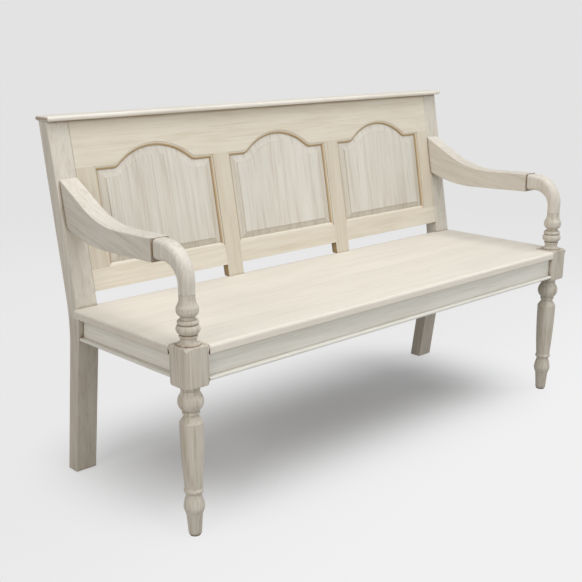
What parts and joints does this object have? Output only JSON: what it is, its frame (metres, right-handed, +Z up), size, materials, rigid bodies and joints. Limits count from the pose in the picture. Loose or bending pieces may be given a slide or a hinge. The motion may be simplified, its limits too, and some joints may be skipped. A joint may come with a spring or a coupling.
{
  "type": "deacons bench",
  "caption": "Wooden bench with a raked back of arched raised panels, a board seat on aprons, turned front legs and swept arms on bent supports.",
  "frame": {"origin": "on the floor under the middle of the bench", "axes": "+Z up, +X along the bench to its right-hand end as seen from the front, the front faces -Y"},
  "size_m": [1.465, 0.5676, 0.909],
  "materials": {
    "rail_wood": "pale whitewashed timber, dry matt lacquer",
    "panel_wood": "pale greyish whitewashed timber with upright grain",
    "seat_wood": "pale whitewashed boards, dry satin lacquer",
    "apron_wood": "pale greyish whitewashed timber",
    "post_wood": "pale whitewashed timber",
    "leg_wood": "pale whitewashed timber, glaze left in the turnings",
    "arm_wood": "pale whitewashed timber, worn smooth",
    "plain_wood": "bare timber",
    "screw_steel": "zinc plated",
    "glide_plastic": "moulded"
  },
  "bodies": {
    "root": {"arm_bend_left": "arm_wood", "arm_bend_right": "arm_wood", "arm_dowel_left": "plain_wood", "arm_dowel_right": "plain_wood", "arm_left": "arm_wood", "arm_right": "arm_wood", "back_panel_centre": "panel_wood", "back_panel_left": "panel_wood", "back_panel_right": "panel_wood", "bottom_rail_centre": "rail_wood", "bottom_rail_left": "rail_wood", "bottom_rail_right": "rail_wood", "cap_dowels": "plain_wood", "cap_rail": "rail_wood", "corner_block_front_left": "plain_wood", "corner_block_front_right": "plain_wood", "corner_block_rear_left": "plain_wood", "corner_block_rear_right": "plain_wood", "front_apron": "apron_wood", "front_bead": "apron_wood", "front_glide_left": "glide_plastic", "front_glide_right": "glide_plastic", "front_leg_left": "leg_wood", "front_leg_right": "leg_wood", "muntin_left": "rail_wood", "muntin_right": "rail_wood", "rear_apron": "apron_wood", "rear_glide_left": "glide_plastic", "rear_glide_right": "glide_plastic", "rear_post_left": "post_wood", "rear_post_right": "post_wood", "seat_bearer_left": "plain_wood", "seat_bearer_right": "plain_wood", "seat_board_1": "seat_wood", "seat_board_2": "seat_wood", "seat_board_3": "seat_wood", "seat_board_4": "seat_wood", "seat_screws": "screw_steel", "side_apron_left": "apron_wood", "side_apron_right": "apron_wood", "side_bead_left": "apron_wood", "side_bead_right": "apron_wood", "stile_left": "rail_wood", "stile_right": "rail_wood", "support_dowel_left": "plain_wood", "support_dowel_right": "plain_wood", "top_rail": "rail_wood"}
  },
  "joints": []
}
